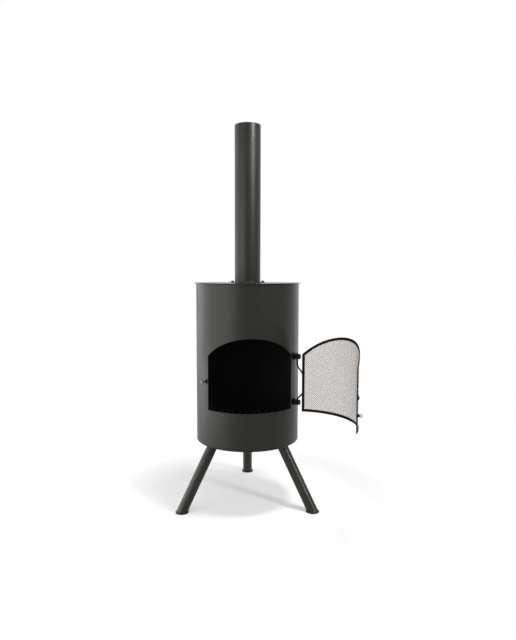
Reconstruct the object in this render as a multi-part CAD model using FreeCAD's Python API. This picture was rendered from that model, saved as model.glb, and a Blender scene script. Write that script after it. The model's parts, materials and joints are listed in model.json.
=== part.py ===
import FreeCAD, Part
import math
import os

# Outdoor fireplace: a sheet steel drum on three splayed legs, with a lid plate, a bolted chimney,
# an arched doorway with a swinging mesh door, and a loose fire grate inside.
# The origin is on the ground under the drum's axis, +Z is up and the doorway faces -Y.
# Angles round the drum are in degrees from the middle of the doorway, positive towards +X.

# Drum, floor plate and lid
drum_diameter = 400.0
drum_height = 610.0
drum_wall = 2.0
ground_clearance = 250.0
floor_thickness = 3.0
lid_overhang = 8.0
lid_thickness = 2.5

# Arched doorway, measured along the drum's skin
doorway_width = 357.0
sill_height = 141.0
doorway_side_height = 202.0
arch_rise = 71.0
arch_span_count = 24

# Chimney and its flange
chimney_diameter = 100.0
chimney_wall = 2.0
chimney_length = 597.0
flue_lip = 2.0
spanner_room = 3.0
flange_edge = 3.0
flange_thickness = 2.0
flange_bolt_count = 4
weld_gap = 0.1

# Bolts, washers and nuts
bolt_diameter = 6.0
bolt_across_flats = 10.0
bolt_head_height = 4.0
nut_height = 5.2
washer_diameter = 12.0
washer_thickness = 1.6
bolt_play = 0.5
thread_gap = 0.05
thread_tail = 3.0

# Legs and feet
leg_diameter = 40.0
leg_wall = 2.0
leg_inset = 53.5
foot_spread = 84.5
leg_turn = -4.0
foot_margin = 1.6
foot_flare = 0.6
foot_height = 3.5
foot_edge = 0.6
plug_depth = 26.0
plug_bolt_depth = 16.0

# Door: a rolled strip frame with mesh behind it
door_gap = 1.0
door_lap = 7.0
door_drop = 6.5
strip_width = 10.0
strip_thickness = 2.5
mesh_thickness = 1.0
mesh_seat = 2.0
mesh_pitch = 28.0
mesh_wire = 3.0
mesh_border = 2.0
door_open_angle = 113.5

# Hinges: radial posts on the drum, bent rods on the door
upper_hinge_drop = 7.0
lower_hinge_rise = 20.0
post_clear = 4.5
post_base_diameter = 27.0
post_base_thickness = 3.5
post_neck_diameter = 15.0
post_neck_length = 2.5
post_knuckle_diameter = 20.0
post_heel = 6.0
post_tip = 12.0
post_edge = 1.2
post_stud_diameter = 6.0
rod_diameter = 6.0
pin_fit = 0.05
pin_show = 4.5
upper_rod_drop = 26.0
upper_rod_slope = 29.0
lower_rod_rise = 3.0
lower_rod_slope = 23.0

# Latch hook on the door and headed catch on the drum
latch_height = 104.0
catch_clear = 2.0
catch_base_diameter = 15.0
catch_base_thickness = 3.0
catch_stem_diameter = 6.0
catch_stem_length = 6.5
catch_head_diameter = 19.0
catch_head_thickness = 7.0
catch_head_edge = 3.2
hook_thickness = 2.5
hook_play = 1.0
hook_finger = 4.0
hook_eye_radius = 6.5
hook_raise = 50.0
rivet_diameter = 5.0
rivet_head_diameter = 11.0
rivet_head_thickness = 2.5
rivet_fit = 0.05
side_play = 0.3

# Pull eye on the door
pull_height = 46.0
pull_stem_diameter = 5.0
pull_collar_diameter = 10.5
pull_collar_length = 6.5
pull_ring_diameter = 11.4
pull_ring_wire = 2.8

# Fire grate standing on the drum floor
grate_wall_gap = 53.0
grate_ring_width = 6.0
grate_ring_height = 22.0
grate_bar_diameter = 10.0
grate_bar_count = 9
grate_foot_diameter = 14.0
grate_foot_height = 55.0
grate_rest_gap = 0.3

# Heights and radii that follow from the sizes above
UP = FreeCAD.Vector(0, 0, 1)
drum_radius = drum_diameter / 2
drum_inner_radius = drum_radius - drum_wall
drum_bottom = ground_clearance
drum_top = drum_bottom + drum_height
floor_top = drum_bottom + floor_thickness
lid_top = drum_top + lid_thickness
lid_underside = drum_top
flange_top = lid_top + flange_thickness
chimney_radius = chimney_diameter / 2
flange_bolt_circle = chimney_radius + spanner_room + washer_diameter / 2
flange_radius = flange_bolt_circle + washer_diameter / 2 + flange_edge

doorway_half_width = doorway_width / 2
sill = drum_bottom + sill_height
arch_spring = sill + doorway_side_height
arch_peak = arch_spring + arch_rise
arch_radius = (doorway_half_width ** 2 + arch_rise ** 2) / (2 * arch_rise)
arch_centre = arch_peak - arch_radius

mesh_inner_radius = drum_radius + door_gap
strip_inner_radius = mesh_inner_radius + mesh_thickness
strip_outer_radius = strip_inner_radius + strip_thickness
door_edge = doorway_half_width + door_lap
strip_middle = door_edge - strip_width / 2
post_neck = drum_radius + post_base_thickness
post_knuckle = post_neck + post_neck_length
hinge_radius = post_knuckle + post_heel
upper_hinge = arch_spring - upper_hinge_drop
lower_hinge = sill + lower_hinge_rise
latch_level = sill + latch_height
pull_level = sill + pull_height

leg_angles = {
    "front_left": leg_turn - 60,
    "front_right": leg_turn + 60,
    "rear": leg_turn + 180,
}
leg_top_radius = drum_radius - leg_inset
foot_circle_radius = drum_radius + foot_spread
leg_drop = drum_bottom - foot_height
leg_length = math.hypot(leg_inset + foot_spread, leg_drop)
leg_foot_length = leg_diameter * leg_length / leg_drop
foot_top_diameter = leg_foot_length + 2 * foot_margin
foot_diameter = foot_top_diameter + 2 * foot_flare

grate_diameter = 2 * (drum_inner_radius - grate_wall_gap)


def skin_angle(distance):
    """The angle that a distance along the drum's skin spans."""
    return math.degrees(distance / drum_radius)


def outward(angle):
    """The level direction that points away from the drum's axis at an angle."""
    turn = math.radians(angle)
    return FreeCAD.Vector(math.sin(turn), -math.cos(turn), 0)


def point_at(radius, angle, z):
    """A point at a radius from the drum's axis, an angle from the doorway and a height."""
    return outward(angle) * radius + UP * z


def upright(diameter, bottom, top, radius=0.0, angle=0.0):
    """A vertical round bar."""
    return Part.makeCylinder(diameter / 2, top - bottom, point_at(radius, angle, bottom), UP)


def radial_bar(diameter, inner, outer, angle, z):
    """A round bar that points away from the drum's axis."""
    return Part.makeCylinder(diameter / 2, outer - inner, point_at(inner, angle, z), outward(angle))


def hexagon(across_flats, height):
    """An upright hexagonal prism on the origin."""
    reach = across_flats / math.sqrt(3)
    corners = [point_at(reach, 60 * side, 0) for side in range(7)]
    return Part.Face(Part.makePolygon(corners)).extrude(UP * height)


def ring_at(outer_diameter, inner_diameter, bottom, height, radius=0.0, angle=0.0):
    """A flat ring, such as a washer or a flange."""
    disc = upright(outer_diameter, bottom, bottom + height, radius, angle)
    return disc.cut(upright(inner_diameter, bottom, bottom + height, radius, angle))


def hex_bolt(radius, angle, seat, reach):
    """A hexagon head that sits on a level seat, with its stem reaching down."""
    head = hexagon(bolt_across_flats, bolt_head_height)
    head.translate(point_at(radius, angle, seat))
    return head.fuse(upright(bolt_diameter, seat - reach, seat, radius, angle)).removeSplitter()


def hex_nut(bore):
    """An upright hexagonal nut on the origin."""
    return hexagon(bolt_across_flats, nut_height).cut(upright(bore, 0, nut_height))


def wall_nut(bore, angle, z):
    """A nut inside the drum whose corners bear on the curved wall, its axis radial."""
    corner = bolt_across_flats / math.sqrt(3)
    seat = math.sqrt(drum_inner_radius ** 2 - corner ** 2)
    nut = hex_nut(bore)
    nut.rotate(FreeCAD.Vector(), FreeCAD.Vector(1, 0, 0), 90)
    nut.translate(outward(0) * (seat - nut_height))
    nut.rotate(FreeCAD.Vector(), UP, angle)
    nut.translate(UP * z)
    return nut


def sector(inner, outer, half_angle, bottom, top):
    """A slice of a ring, centred on the doorway."""
    blank = Part.makeCylinder(outer, top - bottom, UP * bottom, UP, 2 * half_angle)
    core = Part.makeCylinder(inner, top - bottom, UP * bottom, UP, 360)
    slice_of_ring = blank.cut(core)
    slice_of_ring.rotate(FreeCAD.Vector(), UP, -90 - half_angle)
    return slice_of_ring


def arch_height(distance, grow):
    """The height of the doorway's arch, grown by a margin, at a distance along the skin."""
    return arch_centre + math.sqrt((arch_radius + grow) ** 2 - distance ** 2)


def arch_edge(radius, grow):
    """The arch as a smooth curve on a cylinder, a little wider than the doorway."""
    reach = doorway_half_width + grow + drum_wall
    distances = [reach * (2 * step / arch_span_count - 1) for step in range(arch_span_count + 1)]
    points = [point_at(radius, skin_angle(s), arch_height(s, grow)) for s in distances]
    curve = Part.BSplineCurve()
    curve.interpolate(points)
    return curve.toShape()


def arched_panel(grow, inner, outer, drop=0.0):
    """The doorway's outline, grown by a margin and dropped further at the sill, as a curved plate."""
    margin = drum_wall
    top = arch_peak + grow + margin
    blank = sector(inner, outer, skin_angle(doorway_half_width + grow), sill - grow - drop, top)
    soffit = Part.makeRuledSurface(arch_edge(inner - margin, grow), arch_edge(outer + margin, grow))
    above = soffit.extrude(UP * (arch_rise + grow + 2 * margin))
    return blank.cut(above)


def bent_rod(points, diameter):
    """A round rod through points, with ball-rounded bends."""
    rod = None
    for start, end in zip(points, points[1:]):
        run = Part.makeCylinder(diameter / 2, (end - start).Length, start, end - start)
        rod = run if rod is None else rod.fuse(run)
    for bend in points[1:]:
        rod = rod.fuse(Part.makeSphere(diameter / 2, bend))
    return rod.removeSplitter()


def rounded(shape, size, keep):
    """Rounds the edges of a shape that a test picks out."""
    return shape.makeFillet(size, [edge for edge in shape.Edges if keep(edge)])


def level_circle(z):
    """A test for round edges that lie at a height."""
    return lambda edge: abs(edge.BoundBox.ZMax - z) < 1e-6 and abs(edge.BoundBox.ZMin - z) < 1e-6


# Hinge axis and fixing angles round the drum
hinge_angle = skin_angle(door_edge + post_clear + post_base_diameter / 2)
catch_angle = -skin_angle(door_edge + catch_clear + catch_head_diameter / 2)
free_strip_angle = -skin_angle(strip_middle)
hinge_strip_angle = skin_angle(strip_middle)
hinge_axis = point_at(hinge_radius, hinge_angle, 0)
drum_core = upright(drum_diameter, drum_bottom, drum_top)

nodes = {}


def drum():
    """The rolled shell with its doorway and fixing holes, and the floor plate inside it."""
    shell = ring_at(drum_diameter, 2 * drum_inner_radius, drum_bottom, drum_height)
    shell = shell.cut(arched_panel(0, drum_inner_radius - drum_wall, drum_radius + drum_wall))
    holes = [
        (post_stud_diameter, hinge_angle, upper_hinge),
        (post_stud_diameter, hinge_angle, lower_hinge),
        (catch_stem_diameter, catch_angle, latch_level),
    ]
    for diameter, angle, z in holes:
        hole = radial_bar(diameter + bolt_play, drum_inner_radius - drum_wall, drum_radius + drum_wall, angle, z)
        shell = shell.cut(hole)
    nodes["drum_shell"] = shell

    floor = upright(2 * (drum_inner_radius - weld_gap), drum_bottom, floor_top)
    for angle in leg_angles.values():
        hole = upright(bolt_diameter + bolt_play, drum_bottom, floor_top, leg_top_radius, angle)
        floor = floor.cut(hole)
    nodes["drum_floor"] = floor


def lid_and_chimney():
    """The lid plate, and the chimney that a flange bolts to it."""
    flue_diameter = chimney_diameter - 2 * chimney_wall
    lid_hole = flue_diameter - 2 * flue_lip
    lid = ring_at(drum_diameter + 2 * lid_overhang, lid_hole, lid_underside, lid_thickness)
    pipe = ring_at(chimney_diameter, flue_diameter, lid_top, chimney_length)
    flange = ring_at(2 * flange_radius, chimney_diameter + 2 * weld_gap, lid_top, flange_thickness)
    washer_seat = flange_top
    head_seat = washer_seat + washer_thickness
    nut_top = lid_underside
    reach = head_seat - nut_top + nut_height + thread_tail
    bolts = []
    washers = []
    nuts = []
    for index in range(flange_bolt_count):
        angle = 90 + 360 * index / flange_bolt_count
        hole = upright(bolt_diameter + bolt_play, lid_underside, flange_top, flange_bolt_circle, angle)
        lid = lid.cut(hole)
        flange = flange.cut(hole)
        washer_bore = bolt_diameter + bolt_play
        washers.append(ring_at(washer_diameter, washer_bore, washer_seat, washer_thickness,
                               flange_bolt_circle, angle))
        bolts.append(hex_bolt(flange_bolt_circle, angle, head_seat, reach))
        nut = hex_nut(bolt_diameter + 2 * thread_gap)
        nut.translate(point_at(flange_bolt_circle, angle, nut_top - nut_height))
        nuts.append(nut)
    nodes["lid_plate"] = lid
    nodes["chimney_pipe"] = pipe
    nodes["chimney_flange"] = flange
    nodes["chimney_bolts"] = Part.makeCompound(bolts)
    nodes["chimney_washers"] = Part.makeCompound(washers)
    nodes["chimney_nuts"] = Part.makeCompound(nuts)


def legs():
    """Three leaning tubes, each with a round foot and a plug that a bolt in the floor pulls up."""
    bolts = []
    washers = []
    for name, angle in leg_angles.items():
        head = point_at(leg_top_radius, angle, drum_bottom)
        toe = point_at(foot_circle_radius, angle, foot_height)
        lean = (toe - head) / leg_length
        start = head - lean * leg_diameter
        length = leg_length + 2 * leg_diameter
        tube = Part.makeCylinder(leg_diameter / 2, length, start, lean)
        bore_diameter = leg_diameter - 2 * leg_wall
        bore = Part.makeCylinder(bore_diameter / 2, length, start, lean)
        room = upright(2 * (foot_circle_radius + drum_diameter), foot_height, drum_bottom)
        nodes["leg_" + name] = tube.cut(bore).common(room)

        plug_length = leg_diameter + plug_depth
        plug_diameter = bore_diameter - 2 * weld_gap
        plug = Part.makeCylinder(plug_diameter / 2, plug_length, start, lean).common(room)
        tapped = bolt_diameter + 2 * thread_gap
        thread = upright(tapped, drum_bottom - plug_bolt_depth - thread_tail, drum_bottom,
                         leg_top_radius, angle)
        nodes["leg_plug_" + name] = plug.cut(thread)

        foot = Part.makeCone(foot_diameter / 2, foot_top_diameter / 2, foot_height,
                             point_at(foot_circle_radius, angle, 0), UP)
        nodes["foot_" + name] = rounded(foot, foot_edge, level_circle(foot_height))

        seat = floor_top + washer_thickness
        washer_bore = bolt_diameter + bolt_play
        washers.append(ring_at(washer_diameter, washer_bore, floor_top, washer_thickness,
                               leg_top_radius, angle))
        bolts.append(hex_bolt(leg_top_radius, angle, seat, seat - drum_bottom + plug_bolt_depth))
    nodes["leg_bolts"] = Part.makeCompound(bolts)
    nodes["leg_washers"] = Part.makeCompound(washers)


def hinge_posts():
    """Two turned posts on the drum, cross-drilled for the door's pins, with nuts inside the wall."""
    nuts = []
    tip = hinge_radius + post_tip
    tail = drum_inner_radius - nut_height - thread_tail
    for name, z in (("upper", upper_hinge), ("lower", lower_hinge)):
        base = radial_bar(post_base_diameter, drum_radius - drum_wall, post_neck, hinge_angle, z)
        base = base.cut(drum_core)
        stud = radial_bar(post_stud_diameter, tail, post_neck, hinge_angle, z)
        waist = radial_bar(post_neck_diameter, post_neck, post_knuckle, hinge_angle, z)
        barrel = radial_bar(post_knuckle_diameter, post_knuckle, tip, hinge_angle, z)
        barrel = barrel.makeChamfer(post_edge, [edge for edge in barrel.Edges if edge.Closed])
        post = base.fuse([stud, waist, barrel]).removeSplitter()
        bore = upright(rod_diameter + 2 * pin_fit, z - post_knuckle_diameter, z + post_knuckle_diameter,
                       hinge_radius, hinge_angle)
        nodes["hinge_post_" + name] = post.cut(bore)
        nuts.append(wall_nut(post_stud_diameter + 2 * thread_gap, hinge_angle, z))
    nodes["hinge_post_nuts"] = Part.makeCompound(nuts)


def catch():
    """A headed stud beside the doorway that the door's hook drops over, with its nut."""
    stem_foot = drum_radius + catch_base_thickness
    stem_end = stem_foot + catch_stem_length
    head_end = stem_end + catch_head_thickness
    tail = drum_inner_radius - nut_height - thread_tail
    base = radial_bar(catch_base_diameter, drum_radius - drum_wall, stem_foot, catch_angle, latch_level)
    base = base.cut(drum_core)
    stem = radial_bar(catch_stem_diameter, tail, stem_end, catch_angle, latch_level)
    head = radial_bar(catch_head_diameter, stem_end, head_end, catch_angle, latch_level)
    head = head.makeFillet(catch_head_edge, [edge for edge in head.Edges if edge.Closed])
    nodes["catch_stud"] = base.fuse([stem, head]).removeSplitter()
    nodes["catch_nut"] = wall_nut(catch_stem_diameter + 2 * thread_gap, catch_angle, latch_level)


def diamond(distance, z, width, height):
    """A cutter for one gap of the mesh, at a distance along the skin and a height."""
    inner = mesh_inner_radius - mesh_thickness
    corners = [(-width / 2, 0), (0, -height / 2), (width / 2, 0), (0, height / 2), (-width / 2, 0)]
    points = [FreeCAD.Vector(x, -inner, z + rise) for x, rise in corners]
    cutter = Part.Face(Part.makePolygon(points)).extrude(outward(0) * 3 * mesh_thickness)
    cutter.rotate(FreeCAD.Vector(), UP, skin_angle(distance))
    return cutter


def mesh_panel():
    """A thin curved sheet of diamond mesh, seated behind the strip's inner margin."""
    seated = door_lap - strip_width + mesh_seat
    panel = arched_panel(seated, mesh_inner_radius, strip_inner_radius, door_drop)
    field = door_lap - strip_width - mesh_border
    half_field = doorway_half_width + field
    gap = mesh_pitch - mesh_wire * math.sqrt(2)
    half = mesh_pitch / 2
    columns = int(half_field / half) + 1
    field_bottom = sill - field - door_drop
    rows = int((arch_peak - field_bottom) / half) + 1
    gaps = []
    for column in range(-columns, columns + 1):
        for row in range(1, rows + 1):
            s = column * half
            z = field_bottom + row * half
            inside_sides = abs(s) + gap / 2 <= half_field
            if (column + row) % 2 or not inside_sides:
                continue
            crown = min(arch_height(abs(s), field) - gap / 2, arch_height(abs(s) + gap / 2, field))
            if z <= crown:
                gaps.append(diamond(s, z, gap, gap))
    return panel.cut(gaps)


def opened(shape):
    """A door piece, modelled shut, swung open about the hinge pins."""
    swung = shape.copy()
    swung.rotate(hinge_axis, UP, door_open_angle)
    return swung


def door():
    """The strip frame and its mesh, the rods that hang it, the latch rivet and the pull eye."""
    frame = arched_panel(door_lap, strip_inner_radius, strip_outer_radius, door_drop)
    window = arched_panel(door_lap - strip_width, strip_inner_radius, strip_outer_radius, door_drop)
    frame = frame.cut(window)

    weld_radius = strip_outer_radius + rod_diameter / 4
    half_knuckle = post_knuckle_diameter / 2
    upper_bend = upper_hinge - half_knuckle - upper_rod_drop
    lower_bend = lower_hinge + half_knuckle + lower_rod_rise
    upper_rod = bent_rod([
        point_at(hinge_radius, hinge_angle, upper_hinge + half_knuckle + pin_show),
        point_at(hinge_radius, hinge_angle, upper_bend),
        point_at(weld_radius, hinge_strip_angle, upper_bend - upper_rod_slope),
    ], rod_diameter)
    lower_rod = bent_rod([
        point_at(hinge_radius, hinge_angle, lower_hinge - half_knuckle),
        point_at(hinge_radius, hinge_angle, lower_bend),
        point_at(weld_radius, hinge_strip_angle, lower_bend + lower_rod_slope),
    ], rod_diameter)
    nodes["hinge_rod_upper"] = opened(upper_rod.cut(frame))
    nodes["hinge_rod_lower"] = opened(lower_rod.cut(frame))

    rivet_seat = strip_outer_radius + hook_thickness + 2 * side_play
    rivet = radial_bar(rivet_diameter, strip_inner_radius, rivet_seat, free_strip_angle, latch_level)
    rivet_head = radial_bar(rivet_head_diameter, rivet_seat, rivet_seat + rivet_head_thickness,
                            free_strip_angle, latch_level)
    nodes["latch_rivet"] = opened(rivet.fuse(rivet_head).removeSplitter())

    collar_end = strip_outer_radius + pull_collar_length
    ring_radius = (pull_ring_diameter - pull_ring_wire) / 2
    ring_centre = point_at(collar_end + ring_radius, free_strip_angle, pull_level)
    stem = radial_bar(pull_stem_diameter, strip_inner_radius, strip_outer_radius, free_strip_angle, pull_level)
    collar = radial_bar(pull_collar_diameter, strip_outer_radius, collar_end, free_strip_angle, pull_level)
    ring = Part.makeTorus(ring_radius, pull_ring_wire / 2, ring_centre, outward(free_strip_angle + 90))
    nodes["pull_eye"] = opened(stem.fuse([collar, ring]).removeSplitter())

    for diameter, z in ((rivet_diameter, latch_level), (pull_stem_diameter, pull_level)):
        hole = radial_bar(diameter, strip_inner_radius - strip_thickness,
                          strip_outer_radius + strip_thickness, free_strip_angle, z)
        frame = frame.cut(hole)
    nodes["door_frame"] = opened(frame)
    nodes["door_mesh"] = opened(mesh_panel())


def latch():
    """The hook plate: modelled lying over the catch, then lifted and swung with the door.

    Its mouth is curved about the rivet, so the catch slips in as the hook comes down."""
    inner = strip_outer_radius + side_play
    plate_middle = inner + hook_thickness / 2
    reach = plate_middle * math.tan(math.radians(free_strip_angle - catch_angle))
    notch_radius = catch_stem_diameter / 2 + hook_play
    tip_radius = notch_radius + hook_finger

    # The plate lies flat first: its tip points along -X, its top along +Y and its outer face up
    eye = Part.makeCylinder(hook_eye_radius, hook_thickness)
    tip_centre = FreeCAD.Vector(-reach, 0, 0)
    tip = Part.makeCylinder(tip_radius, hook_thickness, tip_centre)
    bar = Part.makeBox(reach, 2 * hook_eye_radius, hook_thickness,
                       tip_centre - FreeCAD.Vector(0, hook_eye_radius, 0))
    notch = Part.makeCylinder(notch_radius, hook_thickness, tip_centre)
    mouth = Part.makeCylinder(reach + notch_radius, hook_thickness, FreeCAD.Vector(), UP, 90)
    mouth = mouth.cut(Part.makeCylinder(reach - notch_radius, hook_thickness))
    mouth.rotate(FreeCAD.Vector(), UP, 180)
    bore = Part.makeCylinder(rivet_diameter / 2 + rivet_fit, hook_thickness)
    hook = eye.fuse([tip, bar]).removeSplitter().cut([notch, mouth, bore])

    hook.rotate(FreeCAD.Vector(), UP, -hook_raise)
    hook.rotate(FreeCAD.Vector(), FreeCAD.Vector(1, 0, 0), 90)
    hook.translate(point_at(inner, 0, latch_level))
    hook.rotate(FreeCAD.Vector(), UP, free_strip_angle)
    nodes["latch_hook"] = opened(hook)


def grate():
    """A ring with bars across it, on three feet that stand between the leg bolts."""
    foot_bottom = floor_top + grate_rest_gap
    ring_bottom = foot_bottom + grate_foot_height
    ring_inner = grate_diameter - 2 * grate_ring_width
    nodes["grate_ring"] = ring_at(grate_diameter, ring_inner, ring_bottom, grate_ring_height)

    bar_level = ring_bottom + grate_ring_height - grate_bar_diameter / 2
    pitch = ring_inner / (grate_bar_count + 1)
    room = upright(ring_inner, ring_bottom, ring_bottom + grate_ring_height)
    bars = []
    for index in range(grate_bar_count):
        x = pitch * (index + 1) - ring_inner / 2
        bar = Part.makeCylinder(grate_bar_diameter / 2, grate_diameter,
                                FreeCAD.Vector(x, -grate_diameter / 2, bar_level), FreeCAD.Vector(0, 1, 0))
        bars.append(bar.common(room))
    nodes["grate_bars"] = Part.makeCompound(bars)

    foot_radius = (grate_diameter - grate_foot_diameter) / 2
    feet = [upright(grate_foot_diameter, foot_bottom, ring_bottom, foot_radius, angle + 60)
            for angle in leg_angles.values()]
    nodes["grate_feet"] = Part.makeCompound(feet)


drum()
lid_and_chimney()
legs()
hinge_posts()
catch()
door()
latch()
grate()

os.makedirs("parts", exist_ok=True)
for name, shape in nodes.items():
    shape.exportStep("parts/" + name + ".step")
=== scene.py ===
import json
import math

import bpy
from mathutils import Matrix, Vector


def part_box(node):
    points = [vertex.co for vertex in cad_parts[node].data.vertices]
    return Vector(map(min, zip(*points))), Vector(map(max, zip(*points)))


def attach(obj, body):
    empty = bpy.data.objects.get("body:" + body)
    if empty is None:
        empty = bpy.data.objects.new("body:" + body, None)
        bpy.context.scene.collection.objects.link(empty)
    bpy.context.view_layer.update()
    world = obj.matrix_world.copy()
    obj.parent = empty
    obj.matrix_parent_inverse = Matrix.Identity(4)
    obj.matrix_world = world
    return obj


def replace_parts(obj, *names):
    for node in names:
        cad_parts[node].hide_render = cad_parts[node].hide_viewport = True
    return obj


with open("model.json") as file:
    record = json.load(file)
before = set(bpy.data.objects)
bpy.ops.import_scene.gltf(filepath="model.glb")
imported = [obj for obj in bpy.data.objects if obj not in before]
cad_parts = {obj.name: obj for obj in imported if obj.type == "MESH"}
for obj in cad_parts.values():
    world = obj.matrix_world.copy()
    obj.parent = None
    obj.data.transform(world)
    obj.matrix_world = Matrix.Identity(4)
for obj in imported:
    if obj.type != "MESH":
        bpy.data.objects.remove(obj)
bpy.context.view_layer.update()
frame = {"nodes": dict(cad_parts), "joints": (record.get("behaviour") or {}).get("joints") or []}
nodes = frame["nodes"]

# Drum shell
# A sheet of 2 mm steel with the arched doorway cut in it, rolled round and butt-welded up the back.
# Outside it has satin heat-proof anthracite paint; inside, the paint is burnt off to dull black soot.
DRUM_WALL = 0.002
drum_low, drum_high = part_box("drum_shell")
drum_radius = drum_high.x
drum_bottom = drum_low.z
drum_top = drum_high.z
wall_middle = drum_radius - DRUM_WALL / 2

PAINT_DEEP = (0.0060, 0.0055, 0.0028, 1)
PAINT_PALE = (0.0095, 0.0088, 0.0050, 1)
PAINT_RUBBED = (0.085, 0.080, 0.074, 1)
RUBBED_SHARE = 0.5
PAINT_EDGE = 0.0004
PAINT_RELIEF = 0.0004
ROLLING_WAVES = (26.0, 26.0, 1.2)
SOOT_DEEP = (0.0022, 0.0021, 0.0020, 1)
SOOT_GREY = (0.0125, 0.0115, 0.0105, 1)
SOOT_ROUGHNESS = 0.85
NO_CEILING = 9.0
CREASE = 35.0

# A weld bead swells with each ripple and, more slowly, with the welder's hand; its ends are thin.
RIPPLE_SWELL = 0.10
HAND_SWELL = 0.06
HAND_PACE = 311.0
BEAD_END = 0.45
BEAD_SIDES = 10
SEAM_ANGLE = 180.0
SEAM_STEPS = 760


def add(tree, kind, inputs=None, **settings):
    """Adds a shader node, sets its properties, and fills or links its inputs."""
    made = tree.nodes.new(kind)
    for name, value in settings.items():
        setattr(made, name, value)
    for socket, value in (inputs or {}).items():
        if isinstance(value, bpy.types.NodeSocket):
            tree.links.new(value, made.inputs[socket])
        else:
            made.inputs[socket].default_value = value
    return made


def maths(tree, operation, a, b=0.0):
    """The result of one sum on two numbers."""
    return add(tree, "ShaderNodeMath", {0: a, 1: b}, operation=operation).outputs[0]


def step(tree, value, start, end, low=0.0, high=1.0):
    """A smooth step from low to high while a value goes from start to end."""
    limits = {"Value": value, "From Min": start, "From Max": end, "To Min": low, "To Max": high}
    return add(tree, "ShaderNodeMapRange", limits, interpolation_type="SMOOTHSTEP").outputs["Result"]


def blend(tree, factor, a, b):
    """A colour between two others."""
    return add(tree, "ShaderNodeMix", {0: factor, 6: a, 7: b}, data_type="RGBA").outputs[2]


def noise(tree, vector, scale, detail):
    """Smooth random values, scale to the metre."""
    return add(tree, "ShaderNodeTexNoise", {"Vector": vector, "Scale": scale, "Detail": detail}).outputs[0]


def place(tree):
    """A point's place on the fireplace, in metres, with the door at rest."""
    return add(tree, "ShaderNodeTexCoord").outputs["Object"]


def rounded(tree, radius):
    """The surface's normal, with its corners rounded to a radius."""
    return add(tree, "ShaderNodeBevel", {"Radius": radius}, samples=4).outputs[0]


def relief(tree, height, strength, depth, edge=0.0):
    """The normal of a surface with fine relief, its corners rounded where an edge radius is given."""
    inputs = {"Height": height, "Strength": strength, "Distance": depth}
    if edge:
        inputs["Normal"] = rounded(tree, edge)
    return add(tree, "ShaderNodeBump", inputs).outputs[0]


def effect(name, inputs, outputs):
    """A shader node group: its tree, what comes in and what goes out."""
    kinds = {float: "NodeSocketFloat", tuple: "NodeSocketVector"}
    tree = bpy.data.node_groups.new(name, "ShaderNodeTree")
    for label, value in inputs.items():
        socket = tree.interface.new_socket(label, in_out="INPUT", socket_type=kinds[type(value)])
        socket.default_value = value
    for label in outputs:
        tree.interface.new_socket(label, in_out="OUTPUT", socket_type="NodeSocketFloat")
    return tree, tree.nodes.new("NodeGroupInput").outputs, tree.nodes.new("NodeGroupOutput").inputs


def sprayed_grain():
    """The fine tooth of sprayed stove paint over sheet that the rolls left slightly wavy."""
    inputs = {"Place": (0.0, 0.0, 0.0), "Grain": 1400.0, "Waves": 0.5}
    tree, given, out = effect("sprayed_grain", inputs, ["Height", "Tone"])
    fine = noise(tree, given["Place"], scale=given["Grain"], detail=3.0)
    rolled = add(tree, "ShaderNodeMapping", {"Vector": given["Place"], "Scale": ROLLING_WAVES}).outputs[0]
    wave = maths(tree, "MULTIPLY", noise(tree, rolled, scale=1.0, detail=1.0), given["Waves"])
    tree.links.new(maths(tree, "ADD", fine, wave), out["Height"])
    tree.links.new(noise(tree, given["Place"], scale=9.0, detail=4.0), out["Tone"])
    return tree


def rubbed_edges():
    """A mask of the corners where handling has rubbed a finish thin."""
    inputs = {"Place": (0.0, 0.0, 0.0), "Reach": 0.0012, "Patches": 70.0}
    tree, given, out = effect("rubbed_edges", inputs, ["Mask"])
    flat = add(tree, "ShaderNodeNewGeometry").outputs["Normal"]
    normals = {0: rounded(tree, given["Reach"]), 1: flat}
    facing = add(tree, "ShaderNodeVectorMath", normals, operation="DOT_PRODUCT").outputs["Value"]
    corner = step(tree, facing, start=0.80, end=0.985, low=1.0, high=0.0)
    cloud = noise(tree, given["Place"], scale=given["Patches"], detail=4.0)
    patches = step(tree, cloud, start=0.42, end=0.66)
    tree.links.new(maths(tree, "MULTIPLY", corner, patches), out["Mask"])
    return tree


def soot_inside():
    """A mask of the walls inside a round bore about the drum's axis, up to a height."""
    inputs = {"Place": (0.0, 0.0, 0.0), "Bore": wall_middle, "Ceiling": NO_CEILING, "Blur": 0.0006}
    tree, given, out = effect("soot_inside", inputs, ["Mask", "Flakes"])
    parts = add(tree, "ShaderNodeSeparateXYZ", {0: given["Place"]}).outputs
    level = add(tree, "ShaderNodeCombineXYZ", {0: parts[0], 1: parts[1]}).outputs[0]
    radius = add(tree, "ShaderNodeVectorMath", {0: level}, operation="LENGTH").outputs["Value"]
    depth = maths(tree, "DIVIDE", maths(tree, "SUBTRACT", given["Bore"], radius), given["Blur"])
    below = maths(tree, "DIVIDE", maths(tree, "SUBTRACT", given["Ceiling"], parts[2]), given["Blur"])
    within = step(tree, depth, start=-0.5, end=0.5)
    under = step(tree, below, start=-0.5, end=0.5)
    tree.links.new(maths(tree, "MULTIPLY", within, under), out["Mask"])
    tree.links.new(noise(tree, given["Place"], scale=160.0, detail=6.0), out["Flakes"])
    return tree


SPRAYED_GRAIN = sprayed_grain()
RUBBED_EDGES = rubbed_edges()
SOOT_INSIDE = soot_inside()


def shared(tree, group, **values):
    """The outputs of a shared effect, placed in a material with the material's own values."""
    return add(tree, "ShaderNodeGroup", values, node_tree=group).outputs


def surface(name, values):
    """A new material with plain values on its shader's sockets: the material, its tree and shader."""
    material = bpy.data.materials.new(name)
    material.use_nodes = True
    shader = material.node_tree.nodes["Principled BSDF"]
    for socket, value in values.items():
        shader.inputs[socket].default_value = value
    return material, material.node_tree, shader


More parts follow.
